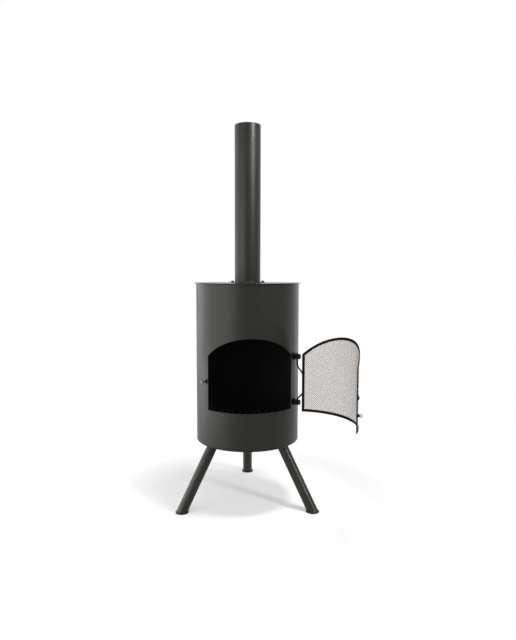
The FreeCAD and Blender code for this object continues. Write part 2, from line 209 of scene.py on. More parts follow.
def joined(tree, shader, sockets):
    """Links values to a shader's sockets."""
    for socket, value in sockets.items():
        tree.links.new(value, shader.inputs[socket])


def stove_paint(name, bore=None, ceiling=NO_CEILING, smooth=0.36, tooth=0.10, gloss=0.27):
    """Satin anthracite paint, rubbed at its corners; inside a bore it is burnt to soot."""
    material, tree, shader = surface(name, {"Specular IOR Level": gloss})
    at = place(tree)
    grain = shared(tree, SPRAYED_GRAIN, Place=at)
    worn = shared(tree, RUBBED_EDGES, Place=at)["Mask"]
    colour = blend(tree, grain["Tone"], PAINT_DEEP, PAINT_PALE)
    colour = blend(tree, maths(tree, "MULTIPLY", worn, RUBBED_SHARE), colour, PAINT_RUBBED)
    rough = step(tree, grain["Tone"], start=0.3, end=0.7, low=smooth, high=smooth + 0.06)
    height = grain["Height"]
    if bore:
        soot = shared(tree, SOOT_INSIDE, Place=at, Bore=bore, Ceiling=ceiling)
        burnt = blend(tree, step(tree, soot["Flakes"], start=0.40, end=0.75), SOOT_DEEP, SOOT_GREY)
        colour = blend(tree, soot["Mask"], colour, burnt)
        rough = step(tree, soot["Mask"], start=0.0, end=1.0, low=rough, high=SOOT_ROUGHNESS)
        height = maths(tree, "ADD", height, maths(tree, "MULTIPLY", soot["Mask"], soot["Flakes"]))
    normal = relief(tree, height, strength=tooth, depth=PAINT_RELIEF, edge=PAINT_EDGE)
    joined(tree, shader, {"Base Color": colour, "Roughness": rough, "Normal": normal})
    return material


def dress(material, *names):
    """Gives solids of the frame their finish."""
    for name in names:
        nodes[name].data.materials[0] = material


def piece(name, shape, material, body):
    """A mesh in the shared frame that moves with a body, smooth except at its creases."""
    points, faces = shape
    mesh = bpy.data.meshes.new(name)
    mesh.from_pydata([tuple(point) for point in points], [], faces)
    mesh.polygons.foreach_set("use_smooth", [True] * len(mesh.polygons))
    mesh.set_sharp_from_angle(angle=math.radians(CREASE))
    mesh.materials.append(material)
    made = bpy.data.objects.new(name, mesh)
    bpy.context.scene.collection.objects.link(made)
    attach(made, body)
    return made


def around(radius, degrees, z):
    """A point at a radius from the drum's axis, an angle from the doorway's middle and a height."""
    turn = math.radians(degrees)
    return Vector((radius * math.sin(turn), -radius * math.cos(turn), z))


def swept(path, ups, outlines, closed=False):
    """Points and faces of outlines swept along a path; each outline is (side, up) pairs."""
    count = len(path)
    size = len(outlines[0])
    points = []
    for index, centre in enumerate(path):
        before = path[index - 1] if closed or index else centre
        after = path[(index + 1) % count] if closed or index < count - 1 else centre
        along = (after - before).normalized()
        side = along.cross(ups[index]).normalized()
        up = side.cross(along)
        points += [centre + side * a + up * b for a, b in outlines[index]]
    faces = []
    for ring in range(count if closed else count - 1):
        here = ring * size
        there = (ring + 1) % count * size
        for corner in range(size):
            ahead = (corner + 1) % size
            faces.append((here + corner, here + ahead, there + ahead, there + corner))
    if not closed:
        faces.append(tuple(reversed(range(size))))
        faces.append(tuple(range((count - 1) * size, count * size)))
    return points, faces


def disc(radius_side, radius_up, sides):
    """An oval outline for a sweep."""
    turns = [2 * math.pi * index / sides for index in range(sides)]
    return [(radius_side * math.cos(turn), radius_up * math.sin(turn)) for turn in turns]


def weld_bead(path, ups, width, height, ripple=0.0024, closed=False):
    """Points and faces of a rippled weld along a path, its ends drawn in."""
    outlines = []
    travelled = 0.0
    for index, point in enumerate(path):
        travelled += (point - path[index - 1]).length if index else 0.0
        swell = 1 + RIPPLE_SWELL * math.sin(2 * math.pi * travelled / ripple)
        swell *= 1 + HAND_SWELL * math.sin(travelled * HAND_PACE)
        if not closed and index in (0, len(path) - 1):
            swell *= BEAD_END
        outlines.append(disc(width / 2 * swell, height * swell, BEAD_SIDES))
    return swept(path, ups, outlines, closed)


def back_seam(radius, bottom, top, width, height):
    """Points and faces of the upright weld that closes a rolled sheet at the back."""
    path = [around(radius, SEAM_ANGLE, bottom + (top - bottom) * index / SEAM_STEPS)
            for index in range(SEAM_STEPS + 1)]
    return weld_bead(path, [around(1, SEAM_ANGLE, 0)] * len(path), width, height)


drum_paint = stove_paint("drum_paint", bore=wall_middle)
dress(drum_paint, "drum_shell")
drum_seam = back_seam(drum_radius, drum_bottom, drum_top, width=0.0055, height=0.0007)
piece("drum_seam_weld", drum_seam, drum_paint, "drum")

# Drum floor
# A round 3 mm plate welded inside the bottom of the drum; the legs bolt up to it.
# Its upper side is burnt and dusted with ash, its underside keeps a thin coat of the stove paint.
ASH_GREY = (0.060, 0.056, 0.050, 1)
BURNT_BROWN = (0.020, 0.011, 0.006, 1)
PAINT_HOLDS = 0.0002
BURNT_DEPTH = 0.0005
floor_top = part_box("drum_floor")[1].z


def burnt_plate():
    """Burnt sheet, patched with scale and ash on top and painted below."""
    material, tree, shader = surface("burnt_plate", {"Specular IOR Level": 0.2})
    at = place(tree)
    grain = shared(tree, SPRAYED_GRAIN, Place=at, Grain=900.0)
    crust = noise(tree, at, scale=38.0, detail=6.0)
    ash = step(tree, noise(tree, at, scale=17.0, detail=8.0), start=0.50, end=0.72, high=0.7)
    colour = blend(tree, step(tree, crust, start=0.35, end=0.65), SOOT_DEEP, BURNT_BROWN)
    colour = blend(tree, ash, colour, ASH_GREY)
    height = add(tree, "ShaderNodeSeparateXYZ", {0: at}).outputs[2]
    upper = step(tree, height, start=drum_bottom + PAINT_HOLDS, end=floor_top - BURNT_DEPTH)
    colour = blend(tree, upper, PAINT_DEEP, colour)
    rough = step(tree, upper, start=0.0, end=1.0, low=0.5, high=0.92)
    normal = relief(tree, maths(tree, "ADD", grain["Height"], crust), strength=0.25, depth=0.0006)
    joined(tree, shader, {"Base Color": colour, "Roughness": rough, "Normal": normal})
    return material


def ring_path(radius, z, steps):
    """Points of a level circle about the drum's axis."""
    return [around(radius, 360 * index / steps, z) for index in range(steps)]


burnt_steel = burnt_plate()
dress(burnt_steel, "drum_floor")
floor_weld = ring_path(drum_radius - DRUM_WALL, floor_top, steps=720)
inward = [Vector((-point.x, -point.y, drum_radius)).normalized() for point in floor_weld]
floor_bead = weld_bead(floor_weld, inward, width=0.0055, height=0.0018, ripple=0.0052, closed=True)
piece("drum_floor_weld", floor_bead, burnt_steel, "drum")

# Legs and feet
# Three 40 mm steel tubes that lean out under the drum, each welded to a turned round foot.
# A tapped plug inside each tube's top takes the bolt that comes down through the drum floor.
LEG_ANGLES = {"front_left": -64.0, "front_right": 56.0, "rear": 176.0}
LEG_RADIUS = 0.020
LEG_TOP_RADIUS = 0.1465
FOOT_RADIUS = 0.2845
FOOT_WELD_STEPS = 180
foot_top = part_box("foot_rear")[1].z
leg_lean = math.atan2(FOOT_RADIUS - LEG_TOP_RADIUS, drum_bottom - foot_top)
ZINC_DULL = (0.30, 0.30, 0.29, 1)
ZINC_BRIGHT = (0.56, 0.56, 0.54, 1)
BOLT_FLATS = 0.010
BOLT_RADIUS = 0.003
BOLT_HEAD = 0.004
WASHER_FACE_SHARE = 0.95
BOLT_FACE = BOLT_FLATS / 2 * WASHER_FACE_SHARE
FACE_STEP = 0.0004
CHAMFER = math.tan(math.radians(30))
HEX_STEPS = 48
THREAD_PITCH = 0.0010
THREAD_DEPTH = 0.0005
LEG_THREAD = 0.012
PLUG_BOLT_DEPTH = 0.016
WASHER_THICKNESS = 0.0016


def bare_metal(name, dark, bright, rough, soot=0.0):
    """Bare or plated metal with fine tool marks, with a share of it under soot."""
    material, tree, shader = surface(name, {"Metallic": 1.0})
    at = place(tree)
    cloud = noise(tree, at, scale=240.0, detail=5.0)
    marks = noise(tree, at, scale=2600.0, detail=2.0)
    colour = blend(tree, step(tree, cloud, start=0.32, end=0.68), dark, bright)
    rough_here = step(tree, cloud, start=0.3, end=0.7, low=rough * 0.85, high=rough * 1.2)
    if soot:
        flakes = noise(tree, at, scale=120.0, detail=6.0)
        cover = step(tree, flakes, start=0.62 - soot * 0.5, end=0.72 - soot * 0.3)
        colour = blend(tree, cover, colour, SOOT_GREY)
        rough_here = step(tree, cover, start=0.0, end=1.0, low=rough_here, high=0.9)
    normal = relief(tree, marks, strength=0.08, depth=0.0002, edge=0.0003)
    joined(tree, shader, {"Base Color": colour, "Roughness": rough_here, "Normal": normal})
    return material


def round_ring(radius, z):
    """One level circle of a turned shape, as a radius and a height at each step round it."""
    return [(radius, z)] * HEX_STEPS


def hexagon_ring(z, slope):
    """One hexagon of a bolt head or nut, whose height slopes away towards its corners."""
    ring = []
    for index in range(HEX_STEPS):
        turn = 2 * math.pi * index / HEX_STEPS
        reach = BOLT_FLATS / 2 / math.cos(turn % (math.pi / 3) - math.pi / 6)
        ring.append((reach, z + slope * (reach - BOLT_FACE)))
    return ring


def stacked(rings, matrix, hollow=False):
    """Points and faces of rings joined in order, closed by caps, or by the first ring if hollow."""
    points = []
    for ring in rings:
        for index, (radius, z) in enumerate(ring):
            points.append(matrix @ around(radius, 360 * index / HEX_STEPS, z))
    faces = []
    for level in range(len(rings) if hollow else len(rings) - 1):
        here = level * HEX_STEPS
        there = (level + 1) % len(rings) * HEX_STEPS
        for index in range(HEX_STEPS):
            ahead = (index + 1) % HEX_STEPS
            faces.append((here + index, there + index, there + ahead, here + ahead))
    if not hollow:
        faces.append(tuple(range(HEX_STEPS)))
        faces.append(tuple(reversed(range((len(rings) - 1) * HEX_STEPS, len(rings) * HEX_STEPS))))
    return points, faces


def hex_bolt(matrix, reach, threaded):
    """A hexagon bolt, seat at zero, head up: chamfered head, washer face, stem and thread."""
    rings = [
        round_ring(BOLT_FACE, BOLT_HEAD),
        hexagon_ring(BOLT_HEAD, -CHAMFER),
        hexagon_ring(FACE_STEP, 0),
        round_ring(BOLT_FACE, FACE_STEP),
        round_ring(BOLT_FACE, 0),
        round_ring(BOLT_RADIUS, 0),
    ]
    for index in range(int(threaded / THREAD_PITCH)):
        crest = threaded - reach - index * THREAD_PITCH
        rings.append(round_ring(BOLT_RADIUS, crest))
        rings.append(round_ring(BOLT_RADIUS - THREAD_DEPTH, crest - THREAD_PITCH / 2))
    rings.append(round_ring(BOLT_RADIUS - THREAD_DEPTH, -reach))
    return stacked(rings, matrix)


def several(shapes):
    """The points and faces of several shapes as one mesh."""
    points = []
    faces = []
    for more_points, more_faces in shapes:
        start = len(points)
        points += more_points
        faces += [tuple(start + corner for corner in face) for face in more_faces]
    return points, faces


plain_paint = stove_paint("leg_paint")
plug_steel = bare_metal("turned_plug_steel", (0.22, 0.22, 0.22, 1), (0.42, 0.42, 0.41, 1), rough=0.36)
sooted_zinc = bare_metal("sooted_zinc", ZINC_DULL, ZINC_BRIGHT, rough=0.42, soot=0.75)
leg_bolts = []
for leg, angle in LEG_ANGLES.items():
    dress(plain_paint, "leg_" + leg, "foot_" + leg)
    dress(plug_steel, "leg_plug_" + leg)

    outward = around(1, angle, 0)
    across = around(1, angle + 90, 0)
    toe = around(FOOT_RADIUS, angle, foot_top)
    collar = []
    facing = []
    for index in range(FOOT_WELD_STEPS):
        turn = 2 * math.pi * index / FOOT_WELD_STEPS
        sideways = across * LEG_RADIUS * math.sin(turn)
        rim = outward * LEG_RADIUS / math.cos(leg_lean) * math.cos(turn) + sideways
        collar.append(toe + rim)
        facing.append((rim.normalized() + Vector((0, 0, 1))).normalized())
    foot_bead = weld_bead(collar, facing, width=0.0026, height=0.0010, closed=True)
    piece("foot_weld_" + leg, foot_bead, plain_paint, "drum")

    seat = Matrix.Translation(around(LEG_TOP_RADIUS, angle, floor_top + WASHER_THICKNESS))
    reach = floor_top + WASHER_THICKNESS - drum_bottom + PLUG_BOLT_DEPTH
    leg_bolts.append(hex_bolt(seat, reach, LEG_THREAD))
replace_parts(piece("floor_bolts", several(leg_bolts), sooted_zinc, "drum"), "leg_bolts")
dress(sooted_zinc, "leg_washers")

# Lid
# A round 2.5 mm plate that overhangs the drum by 8 mm and is welded to it under the overhang.
# It is painted like the drum, with soot on its underside and round the flue hole.
SOOT_CREEP = 0.0006
lid_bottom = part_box("lid_plate")[0].z


def leaning_out(path, lift):
    """For each point of a ring, the direction between outward and up that a fillet weld faces."""
    facing = []
    for point in path:
        outward = Vector((point.x, point.y, 0)).normalized()
        facing.append((outward + Vector((0, 0, lift))).normalized())
    return facing


lid_paint = stove_paint("lid_paint", bore=drum_radius - DRUM_WALL, ceiling=lid_bottom + SOOT_CREEP,
                        smooth=0.20, tooth=0.04)
dress(lid_paint, "lid_plate")
lid_weld = ring_path(drum_radius, lid_bottom, steps=900)
lid_bead = weld_bead(lid_weld, leaning_out(lid_weld, -1), width=0.0042, height=0.0014, closed=True)
piece("lid_weld", lid_bead, drum_paint, "drum")

# Chimney
# A 100 mm steel pipe, seam-welded up the back, with a flange welded to its foot.
# Four black bolts clamp the flange to the lid, with washers above and nuts underneath.
PIPE_WALL = 0.002
SEAM_START = 0.001
SEAM_STOP = 0.0005
FLANGE_BOLT_CIRCLE = 0.059
FLANGE_BOLT_TURNS = (0, 90, 180, 270)
NUT_HEIGHT = 0.0052
NUT_PLAY = 0.00005
THREAD_TAIL = 0.003
pipe_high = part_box("chimney_pipe")[1]
pipe_radius = pipe_high.x
flange_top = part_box("chimney_flange")[1].z


def hex_nut(matrix, bore):
    """A hexagon nut with its corners chamfered on both sides, standing on zero."""
    rings = [
        round_ring(bore, NUT_HEIGHT),
        round_ring(BOLT_FACE, NUT_HEIGHT),
        hexagon_ring(NUT_HEIGHT, -CHAMFER),
        hexagon_ring(0, CHAMFER),
        round_ring(BOLT_FACE, 0),
        round_ring(bore, 0),
    ]
    return stacked(rings, matrix, hollow=True)


chimney_paint = stove_paint("chimney_paint", bore=pipe_radius - PIPE_WALL / 2)
dress(chimney_paint, "chimney_pipe")
dress(plain_paint, "chimney_flange")

pipe_weld = ring_path(pipe_radius, flange_top, steps=300)
pipe_bead = weld_bead(pipe_weld, leaning_out(pipe_weld, 1), width=0.0040, height=0.0014, closed=True)
piece("chimney_foot_weld", pipe_bead, plain_paint, "drum")

pipe_seam = back_seam(pipe_radius, flange_top + SEAM_START, pipe_high.z - SEAM_STOP,
                      width=0.0036, height=0.0004)
piece("chimney_seam_weld", pipe_seam, plain_paint, "drum")

black_oxide = bare_metal("black_oxide", (0.016, 0.016, 0.017, 1), (0.040, 0.040, 0.041, 1), rough=0.42)
head_seat = flange_top + WASHER_THICKNESS
bolt_reach = head_seat - lid_bottom + NUT_HEIGHT + THREAD_TAIL
flange_bolts = []
flange_nuts = []
for turn in FLANGE_BOLT_TURNS:
    seat = Matrix.Translation(around(FLANGE_BOLT_CIRCLE, turn, head_seat))
    under = Matrix.Translation(around(FLANGE_BOLT_CIRCLE, turn, lid_bottom - NUT_HEIGHT))
    flange_bolts.append(hex_bolt(seat, bolt_reach, NUT_HEIGHT + 2 * THREAD_TAIL))
    flange_nuts.append(hex_nut(under, BOLT_RADIUS + NUT_PLAY))
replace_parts(piece("flange_bolts", several(flange_bolts), black_oxide, "drum"),
            "chimney_bolts")
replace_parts(piece("flange_nuts", several(flange_nuts), sooted_zinc, "drum"),
            "chimney_nuts")
dress(black_oxide, "chimney_washers")

# Hinge posts
# Two turned steel posts, each with a saddle that sits on the drum, a waist and a cross-drilled barrel.
# A stud goes through the shell to a nut inside; the posts are painted satin black.
DOORWAY_HALF_WIDTH = 0.1785
DOORWAY_SIDE_HEIGHT = 0.202
SILL_HEIGHT = 0.141
UPPER_HINGE_DROP = 0.007
LOWER_HINGE_RISE = 0.020
SILL = drum_bottom + SILL_HEIGHT
ARCH_SPRING = SILL + DOORWAY_SIDE_HEIGHT
HINGE_LEVELS = {"upper": ARCH_SPRING - UPPER_HINGE_DROP, "lower": SILL + LOWER_HINGE_RISE}
BLACK_DEEP = (0.0018, 0.0018, 0.0018, 1)
BLACK_PALE = (0.0036, 0.0035, 0.0034, 1)
STEEL_RUBBED = (0.12, 0.115, 0.11, 1)
STEEL_SHARE = 0.45
door_joint = next(joint for joint in frame["joints"] if joint["name"] == "door_swing")
hinge_x, hinge_y = door_joint["pos_m"][:2]
hinge_radius = math.hypot(hinge_x, hinge_y)
hinge_angle = math.degrees(math.atan2(hinge_x, -hinge_y))


def black_paint():
    """Satin black paint, rubbed to the steel here and there along its corners."""
    material, tree, shader = surface("black_paint", {"Specular IOR Level": 0.06})
    at = place(tree)
    grain = shared(tree, SPRAYED_GRAIN, Place=at, Grain=1900.0, Waves=0.0)
    worn = shared(tree, RUBBED_EDGES, Place=at, Reach=0.0006, Patches=180.0)["Mask"]
    colour = blend(tree, grain["Tone"], BLACK_DEEP, BLACK_PALE)
    colour = blend(tree, maths(tree, "MULTIPLY", worn, STEEL_SHARE), colour, STEEL_RUBBED)
    rough = step(tree, grain["Tone"], start=0.3, end=0.7, low=0.42, high=0.50)
    normal = relief(tree, grain["Height"], strength=0.10, depth=0.0003, edge=0.0003)
    joined(tree, shader, {"Base Color": colour, "Roughness": rough, "Normal": normal})
    return material


def radial(radius, degrees, z):
    """The place and turn of a shape whose own upright axis points away from the drum's axis."""
    turn = Matrix.Rotation(math.radians(degrees), 4, "Z")
    lying = Matrix.Rotation(math.radians(90), 4, "X")
    return Matrix.Translation(around(radius, degrees, z)) @ turn @ lying


def wall_nut(bore, degrees, z):
    """A nut inside the drum, its corners against the curved wall."""
    corner = BOLT_FLATS / math.sqrt(3)
    seat = math.sqrt((drum_radius - DRUM_WALL) ** 2 - corner ** 2)
    return hex_nut(radial(seat - NUT_HEIGHT, degrees, z), bore)


hinge_black = black_paint()
dress(hinge_black, "hinge_post_upper", "hinge_post_lower")
post_nuts = several([wall_nut(BOLT_RADIUS + NUT_PLAY, hinge_angle, z) for z in HINGE_LEVELS.values()])
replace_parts(piece("post_nuts", post_nuts, sooted_zinc, "drum"), "hinge_post_nuts")

# Catch
# A headed stud left of the doorway that the door's hook drops over, held by a small nut inside.
# It is turned steel, painted with the drum; the hook has polished it.
DOOR_LAP = 0.007
DOOR_EDGE = DOORWAY_HALF_WIDTH + DOOR_LAP
LATCH_HEIGHT = 0.104
LATCH_LEVEL = SILL + LATCH_HEIGHT
CATCH_CLEAR = 0.002
CATCH_HEAD_RADIUS = 0.0095
CATCH_STEM_RADIUS = 0.003
catch_angle = -math.degrees((DOOR_EDGE + CATCH_CLEAR + CATCH_HEAD_RADIUS) / drum_radius)
catch_paint = stove_paint("catch_paint", smooth=0.30, gloss=0.65)
dress(catch_paint, "catch_stud")
catch_nut = wall_nut(CATCH_STEM_RADIUS + NUT_PLAY, catch_angle, LATCH_LEVEL)
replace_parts(piece("catch_wall_nut", catch_nut, sooted_zinc, "drum"), "catch_nut")

# Door frame
# A flat 10 by 2.5 mm steel strip, bent to the arched outline and rolled to the drum's curve.
# It hangs 2 mm off the drum and overlaps the doorway's edge; it is painted satin black.
DOOR_GAP = 0.002
STRIP_THICKNESS = 0.0025
STRIP_WIDTH = 0.010
STRIP_INNER_RADIUS = drum_radius + DOOR_GAP
STRIP_OUTER_RADIUS = STRIP_INNER_RADIUS + STRIP_THICKNESS
STRIP_MIDDLE = DOOR_EDGE - STRIP_WIDTH / 2
dress(hinge_black, "door_frame")

# Door mesh
# One sheet of expanded steel: slit and drawn out into rows of zigzag strands that meet at short bonds.
# It is trimmed to lie half a millimetre over the strip's inner edge, and is spot-welded to its back.
ARCH_RISE = 0.071
ARCH_RADIUS = (DOORWAY_HALF_WIDTH ** 2 + ARCH_RISE ** 2) / (2 * ARCH_RISE)
ARCH_CENTRE = ARCH_SPRING + ARCH_RISE - ARCH_RADIUS
MESH_DEPTH = 0.001
MESH_MIDDLE_RADIUS = STRIP_INNER_RADIUS - MESH_DEPTH / 2
MESH_INSET = 0.0025
DOOR_DROP = 0.0065
CELL_WIDTH = 0.0072
CELL_HEIGHT = 0.0070
BOND_LENGTH = 0.0014
STRAND_WIDTH = 0.0015
STRAND_THICKNESS = 0.0006
STRAND_TILT = math.radians(14)
CUT_HALVINGS = 12
to_hinge = Matrix.Translation((hinge_x, hinge_y, 0))
from_hinge = Matrix.Translation((-hinge_x, -hinge_y, 0))
swung_open = Matrix.Rotation(math.radians(-door_joint["range_deg"][0]), 4, "Z")
door_open = to_hinge @ swung_open @ from_hinge


def on_door(radius, distance, z):
    """A point of the open door, from its distance along the drum's skin with the door shut."""
    return door_open @ around(radius, math.degrees(distance / drum_radius), z)


def out_of_door(distance, z):
    """The direction that the open door's outer side faces at a point."""
    return (on_door(1, distance, z) - on_door(0.5, distance, z)).normalized()


def half_width(z, inset):
    """How far the doorway's outline, drawn in by an inset, reaches sideways at a height."""
    side = DOORWAY_HALF_WIDTH - inset
    room = (ARCH_RADIUS - inset) ** 2 - (z - ARCH_CENTRE) ** 2
    return min(side, math.sqrt(max(room, 0)))


def inside(point):
    """True for a point of the mesh within the outline that it is trimmed to."""
    distance, z = point
    return abs(distance) < half_width(z, MESH_INSET)


def cut_point(start, end):
    """Where a stretch between two points crosses the mesh's outline, by halving."""
    kept = inside(start)
    for _ in range(CUT_HALVINGS):
        middle = ((start[0] + end[0]) / 2, (start[1] + end[1]) / 2)
        if inside(middle) == kept:
            start = middle
        else:
            end = middle
    return start


def trimmed(line):
    """The stretches of a strand that lie inside the mesh's outline, cut off where they cross it."""
    stretches = [[]]
    for start, end in zip(line, line[1:]):
        if inside(start):
            stretches[-1].append(start)
        if inside(start) != inside(end):
            stretches[-1].append(cut_point(start, end))
        if not inside(end):
            stretches.append([])
    return [stretch for stretch in stretches if len(stretch) > 1]


def zigzag(row, low):
    """The turning points of one strand across the door, as distances along the skin and heights."""
    base = low + row * CELL_HEIGHT / 2 + STRAND_WIDTH / 2
    rise = CELL_HEIGHT / 2 - STRAND_WIDTH
    columns = int(DOORWAY_HALF_WIDTH / (CELL_WIDTH / 2)) + 1
    line = []
    for column in range(-columns, columns + 1):
        z = base + rise * ((column + row) % 2)
        middle = column * CELL_WIDTH / 2
        line += [(middle - BOND_LENGTH / 2, z), (middle + BOND_LENGTH / 2, z)]
    return line


def expanded_mesh():
    """Points and faces of all the strands."""
    tilt = Matrix.Rotation(STRAND_TILT, 2)
    corners = [Vector((a * STRAND_WIDTH / 2, b * STRAND_THICKNESS / 2))
               for a, b in ((-1, -1), (1, -1), (1, 1), (-1, 1))]
    section = [tuple(tilt @ corner) for corner in corners]
    low = SILL + MESH_INSET - DOOR_DROP
    rows = int((ARCH_SPRING + ARCH_RISE - low) / (CELL_HEIGHT / 2)) + 1
    strands = []
    for row in range(rows):
        for line in trimmed(zigzag(row, low)):
            path = [on_door(MESH_MIDDLE_RADIUS, distance, z) for distance, z in line]
            ups = [out_of_door(distance, z) for distance, z in line]
            strands.append(swept(path, ups, [section] * len(path)))
    return several(strands)


mesh_steel = bare_metal("dull_mesh_steel", (0.278, 0.243, 0.217, 1), (0.334, 0.293, 0.262, 1), rough=0.78)
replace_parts(piece("expanded_mesh", expanded_mesh(), mesh_steel, "door"), "door_mesh")

# Hinge rods
# Two 6 mm steel rods, bent by hand. One end stands in a post as a hinge pin, and the other end
# is welded to the strip. They are painted black with the frame.
ROD_RADIUS = 0.003
ROD_BEND = 0.012
ROD_CHAMFER = 0.0006
ROD_SIDES = 20
BEND_STEPS = 12
BEND_SHARE = 0.6
KNUCKLE_RADIUS = 0.010
PIN_SHOW = 0.0045
UPPER_ROD_DROP = 0.026
UPPER_ROD_SLOPE = 0.029
LOWER_ROD_RISE = 0.003
LOWER_ROD_SLOPE = 0.023
WELD_RADIUS = STRIP_OUTER_RADIUS + ROD_RADIUS / 2
ROD_WELD_LENGTH = 0.010
ROD_WELD_STEPS = 20
hinge_distance = math.radians(hinge_angle) * drum_radius
upper_bend = HINGE_LEVELS["upper"] - KNUCKLE_RADIUS - UPPER_ROD_DROP
lower_bend = HINGE_LEVELS["lower"] + KNUCKLE_RADIUS + LOWER_ROD_RISE
rod_levels = {
    "upper": (HINGE_LEVELS["upper"] + KNUCKLE_RADIUS + PIN_SHOW, upper_bend, upper_bend - UPPER_ROD_SLOPE),
    "lower": (HINGE_LEVELS["lower"] - KNUCKLE_RADIUS, lower_bend, lower_bend + LOWER_ROD_SLOPE),
}


def bent_route(start, corner, end):
    """Points along two straight runs with a curve at the corner between them."""
    room = min(ROD_BEND, (corner - start).length * BEND_SHARE, (end - corner).length * BEND_SHARE)
    before = corner + (start - corner).normalized() * room
    after = corner + (end - corner).normalized() * room
    curve = []
    for index in range(BEND_STEPS + 1):
        t = index / BEND_STEPS
        curve.append(before * (1 - t) ** 2 + corner * 2 * t * (1 - t) + after * t ** 2)
    return [start] + curve + [end]


for name, (pin_level, bend_level, weld_level) in rod_levels.items():
    pin = on_door(hinge_radius, hinge_distance, pin_level)
    bend = on_door(hinge_radius, hinge_distance, bend_level)
    foot = on_door(WELD_RADIUS, STRIP_MIDDLE, weld_level)
    away = out_of_door(STRIP_MIDDLE, weld_level)
    route = bent_route(pin, bend, foot)
    tip = (route[1] - pin).normalized() * ROD_CHAMFER
    route.insert(1, pin + tip)
    blunt = disc(ROD_RADIUS - ROD_CHAMFER, ROD_RADIUS - ROD_CHAMFER, ROD_SIDES)
    full = disc(ROD_RADIUS, ROD_RADIUS, ROD_SIDES)
    rod = swept(route, [away] * len(route), [blunt] + [full] * (len(route) - 1))
    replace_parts(piece("bent_rod_" + name, rod, hinge_black, "door"), "hinge_rod_" + name)

    along = (foot - bend).normalized()
    beside = along.cross(away).normalized() * ROD_RADIUS
    beads = []
    for side in (-1, 1):
        start = foot - away * ROD_RADIUS / 2 + beside * side
        line = [start - along * ROD_WELD_LENGTH * index / ROD_WELD_STEPS
                for index in range(ROD_WELD_STEPS + 1)]
        beads.append(weld_bead(line, [away] * len(line), width=0.0026, height=0.0016))
    piece("rod_weld_" + name, several(beads), hinge_black, "door")

# Latch
# A small plate hook that turns on a rivet near the strip's free edge and drops over the catch.
# The rivet's head is domed; both are steel, painted black.
HOOK_THICKNESS = 0.0025
HOOK_SIDE_PLAY = 0.0003
RIVET_SEAT = STRIP_OUTER_RADIUS + HOOK_THICKNESS + 2 * HOOK_SIDE_PLAY
RIVET_HEAD_RADIUS = 0.0055
RIVET_HEAD_HEIGHT = 0.0025
RIVET_RADIUS = 0.0025
DOME_START = 4.0
DOME_STEPS = 8
free_angle = -math.degrees(STRIP_MIDDLE / drum_radius)
dress(hinge_black, "latch_hook")
rivet_rings = []
for index in range(DOME_STEPS + 1):
    turn = math.radians(DOME_START + (90 - DOME_START) * index / DOME_STEPS)
    rivet_rings.append(round_ring(RIVET_HEAD_RADIUS * math.sin(turn), RIVET_HEAD_HEIGHT * math.cos(turn)))
rivet_rings.append(round_ring(RIVET_RADIUS, 0))
rivet_rings.append(round_ring(RIVET_RADIUS, STRIP_INNER_RADIUS - RIVET_SEAT))
rivet = stacked(rivet_rings, door_open @ radial(RIVET_SEAT, free_angle, LATCH_LEVEL))
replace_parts(piece("domed_rivet", rivet, hinge_black, "door"), "latch_rivet")

# Pull eye
# A small ring of blackened steel on a painted collar, screwed into the strip's free edge below the hook.
# It is what the door is pulled open by.
PULL_HEIGHT = 0.046
COLLAR_RADIUS = 0.00525
COLLAR_LENGTH = 0.0065
COLLAR_FRONT_ROUND = 0.0012
COLLAR_FRONT_LENGTH = 0.0010
COLLAR_BACK_ROUND = 0.0005
PULL_STEM_RADIUS = 0.0025
EYE_RADIUS = 0.0043
EYE_WIRE = 0.0014
EYE_STEPS = 40
EYE_SIDES = 16
ring_steel = bare_metal("blackened_steel", (0.014, 0.014, 0.014, 1), (0.050, 0.050, 0.048, 1), rough=0.24)
seat = door_open @ radial(STRIP_OUTER_RADIUS, free_angle, SILL + PULL_HEIGHT)
collar_rings = [
    round_ring(COLLAR_RADIUS - COLLAR_FRONT_ROUND, COLLAR_LENGTH),
    round_ring(COLLAR_RADIUS, COLLAR_LENGTH - COLLAR_FRONT_LENGTH),
    round_ring(COLLAR_RADIUS, COLLAR_BACK_ROUND),
    round_ring(COLLAR_RADIUS - COLLAR_BACK_ROUND, 0),
    round_ring(PULL_STEM_RADIUS, 0),
    round_ring(PULL_STEM_RADIUS, -STRIP_THICKNESS),
]
collar_shape = stacked(collar_rings, seat)
eye_path = []
eye_ups = []
for index in range(EYE_STEPS):
    turn = 2 * math.pi * index / EYE_STEPS
    spoke = Vector((0, math.cos(turn), math.sin(turn)))
    eye_path.append(seat @ (Vector((0, 0, COLLAR_LENGTH + EYE_RADIUS)) + spoke * EYE_RADIUS))
    eye_ups.append(seat.to_3x3() @ spoke)
eye_shape = swept(eye_path, eye_ups, [disc(EYE_WIRE, EYE_WIRE, EYE_SIDES)] * EYE_STEPS, closed=True)
pull_shape = several([collar_shape, eye_shape])
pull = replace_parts(piece("pull_ring", pull_shape, hinge_black, "door"), "pull_eye")
pull.data.materials.append(ring_steel)
for face in pull.data.polygons:
    face.material_index = 1 if face.index >= len(collar_shape[1]) else 0

# Fire grate
# A steel ring with nine round bars across it, on three stub feet; it stands loose on the drum floor.
# Heat has left it a rough, scaly brown-black.
SCALE_BROWN = (0.030, 0.016, 0.009, 1)


